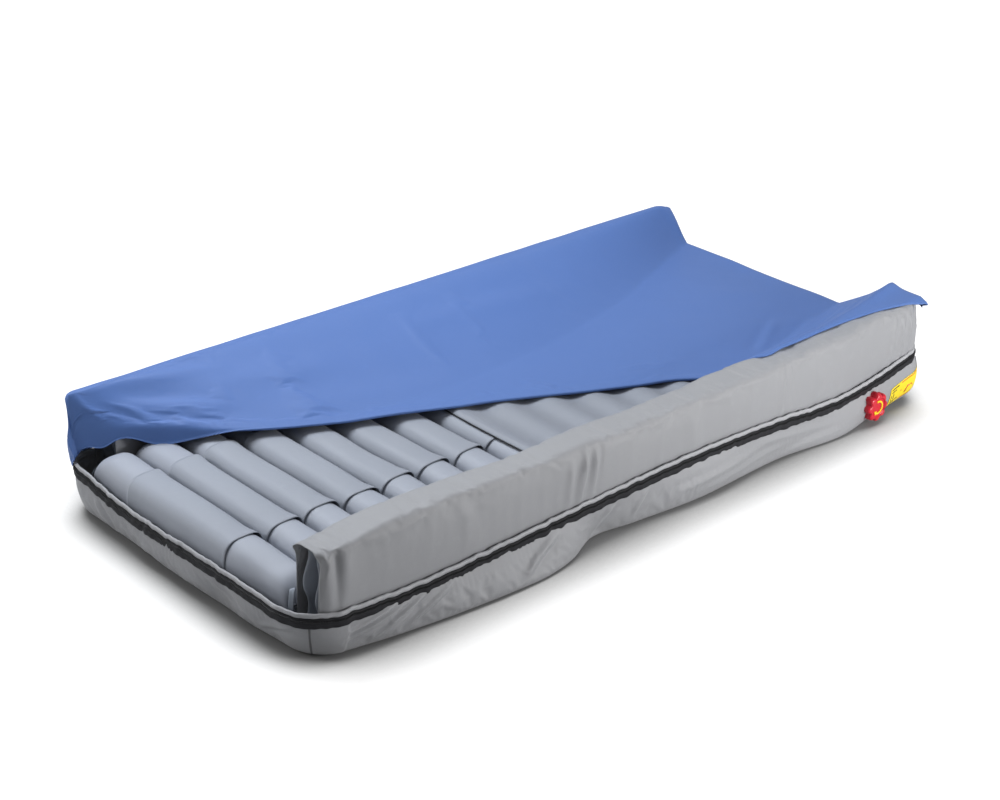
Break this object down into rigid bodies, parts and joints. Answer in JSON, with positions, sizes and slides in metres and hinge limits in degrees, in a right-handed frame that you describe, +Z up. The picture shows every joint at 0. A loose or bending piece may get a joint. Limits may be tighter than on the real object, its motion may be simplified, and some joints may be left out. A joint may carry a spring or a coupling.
{
  "type": "pressure relief mattress",
  "caption": "Alternating pressure air mattress: zipped base tray, transverse air cells with sleeves, side bolsters, overlay, lift-off cover and a rotary CPR valve.",
  "frame": {"origin": "on the floor, under the centre of the bounding box", "axes": "+X from foot end to head end, +Y from the CPR knob's side to the hose side, +Z up"},
  "size_m": [2, 0.98, 0.2865],
  "materials": {
    "grey_fabric": "satin",
    "overlay_fabric": "satin",
    "base_fabric": "matt",
    "zip_black": "matt",
    "zip_metal": "satin",
    "foam": "matt",
    "cell_fabric": "matt",
    "sleeve_fabric": "satin",
    "webbing": "matt",
    "air_tube": "gloss",
    "blue_fabric": "satin",
    "dark_plastic": "matt",
    "red_plastic": "gloss",
    "pale_plastic": "matt",
    "yellow_label": "satin"
  },
  "bodies": {
    "mattress": {"air_cell_01": "cell_fabric", "air_cell_02": "cell_fabric", "air_cell_03": "cell_fabric", "air_cell_04": "cell_fabric", "air_cell_05": "cell_fabric", "air_cell_06": "cell_fabric", "air_cell_07": "cell_fabric", "air_cell_08": "cell_fabric", "air_cell_09": "cell_fabric", "air_cell_10": "cell_fabric", "air_cell_11": "cell_fabric", "air_cell_12": "cell_fabric", "air_cell_13": "cell_fabric", "air_cell_14": "cell_fabric", "air_cell_15": "cell_fabric", "air_cell_16": "cell_fabric", "air_cell_17": "cell_fabric", "air_cell_18": "cell_fabric", "air_cell_19": "cell_fabric", "air_line_a": "air_tube", "air_line_b": "air_tube", "base_panel": "base_fabric", "bolster_core_far": "foam", "bolster_core_near": "foam", "bolster_sleeve_far": "grey_fabric", "bolster_sleeve_near": "grey_fabric", "border_far": "grey_fabric", "border_foot": "grey_fabric", "border_head": "grey_fabric", "border_near": "grey_fabric", "cell_sleeve_01": "sleeve_fabric", "cell_sleeve_02": "sleeve_fabric", "cell_sleeve_03": "sleeve_fabric", "cell_sleeve_04": "sleeve_fabric", "cell_sleeve_05": "sleeve_fabric", "cell_sleeve_06": "sleeve_fabric", "cell_sleeve_07": "sleeve_fabric", "cell_sleeve_08": "sleeve_fabric", "cell_tie_far": "webbing", "cell_tie_near": "webbing", "cpr_flange": "dark_plastic", "cpr_label": "yellow_label", "cpr_valve_body": "pale_plastic", "foam_base": "foam", "hose_connector": "dark_plastic", "overlay_sheet": "overlay_fabric", "rim_hem": "grey_fabric", "zip_tape": "zip_black"},
    "top_cover": {"top_cover": "blue_fabric"},
    "cpr_knob": {"cpr_knob": "red_plastic", "cpr_rotor": "pale_plastic"},
    "zip_slider": {"zip_slider": "zip_metal"},
    "zip_pull": {"zip_pull": "zip_metal"}
  },
  "joints": [
    {"name": "cover_lift", "type": "slide", "parent": "mattress", "child": "top_cover", "axis": [0, 0, 1], "range_m": [0, 0.35]},
    {"name": "cpr_knob_turn", "type": "hinge", "parent": "mattress", "child": "cpr_knob", "pos_m": [0.8, -0.4655, 0.051], "axis": [0, -1, 0], "range_deg": [0, 90]},
    {"name": "zip_slide", "type": "slide", "parent": "mattress", "child": "zip_slider", "axis": [1, 0, 0], "range_m": [0, 1.68]},
    {"name": "zip_pull_swing", "type": "hinge", "parent": "zip_slider", "child": "zip_pull", "pos_m": [-0.84, 0.4686, 0.0985], "axis": [0, 0, -1], "range_deg": [0, 165]}
  ]
}
